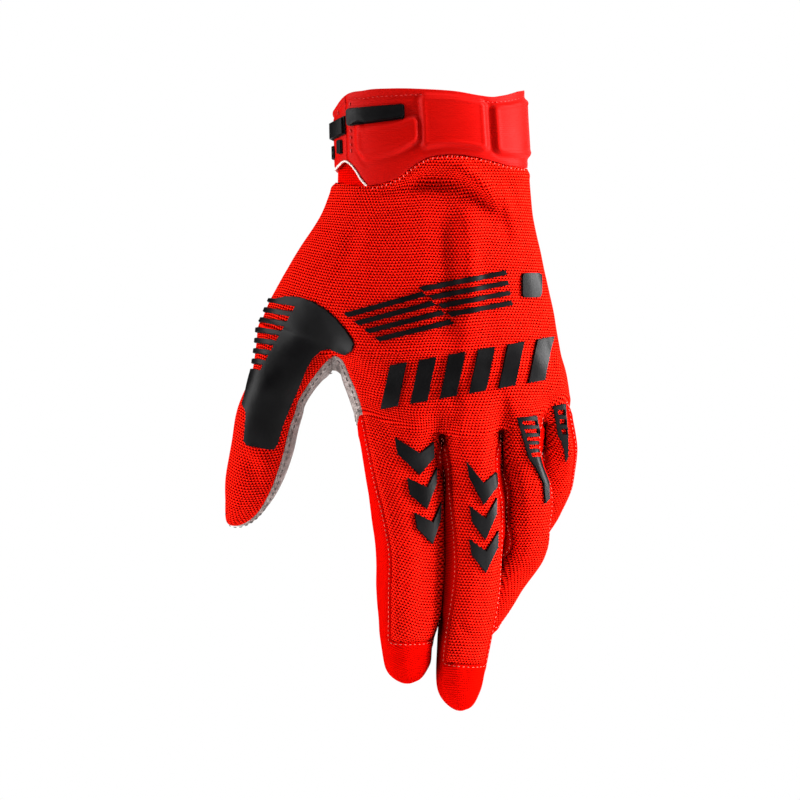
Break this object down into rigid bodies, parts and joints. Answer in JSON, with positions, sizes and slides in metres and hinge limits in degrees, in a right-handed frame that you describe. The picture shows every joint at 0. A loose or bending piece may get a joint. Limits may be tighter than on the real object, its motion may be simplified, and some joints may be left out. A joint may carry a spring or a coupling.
{
  "type": "motocross glove",
  "caption": "Left-hand pull-on riding glove in worn shape: mesh back with raised rubber prints, suede palm, padded cuff with a tabbed wrist flap.",
  "frame": {"origin": "centre of the cuff's mouth, where the hand goes in", "axes": "+Z out of the cuff towards the forearm, fingers hang towards -Z; the back of the hand faces -Y; the thumb is at -X"},
  "size_m": [0.1363, 0.0892, 0.2409],
  "materials": {
    "knit": "open fluorescent red knit",
    "stretch_knit": "smooth fine stretch knit",
    "neoprene": "smooth fabric-faced neoprene",
    "suede": "matte synthetic suede",
    "rubber": "matte moulded rubber"
  },
  "bodies": {
    "root": {"back_panel": "knit", "back_stripe_left_1": "rubber", "back_stripe_left_2": "rubber", "back_stripe_left_3": "rubber", "back_stripe_left_4": "rubber", "back_stripe_right_1": "rubber", "back_stripe_right_2": "rubber", "back_stripe_right_3": "rubber", "back_stripe_right_4": "rubber", "badge_pad": "rubber", "cuff": "neoprene", "flap_slot_1": "rubber", "flap_slot_2": "rubber", "index_chevron_1": "rubber", "index_chevron_2": "rubber", "index_chevron_3": "rubber", "index_sidewall": "stretch_knit", "knuckle_block_1": "rubber", "knuckle_block_2": "rubber", "knuckle_block_3": "rubber", "knuckle_block_4": "rubber", "knuckle_block_5": "rubber", "knuckle_block_6": "rubber", "little_knuckle_guard": "rubber", "little_sidewall": "stretch_knit", "middle_chevron_1": "rubber", "middle_chevron_2": "rubber", "middle_chevron_3": "rubber", "middle_sidewall": "stretch_knit", "palm": "suede", "pull_tab": "rubber", "ring_knuckle_guard": "rubber", "ring_sidewall": "stretch_knit", "side_tab": "rubber", "slit_gusset": "stretch_knit", "thumb_palm": "suede", "thumb_patch": "rubber", "wrist_flap": "neoprene"}
  },
  "joints": []
}
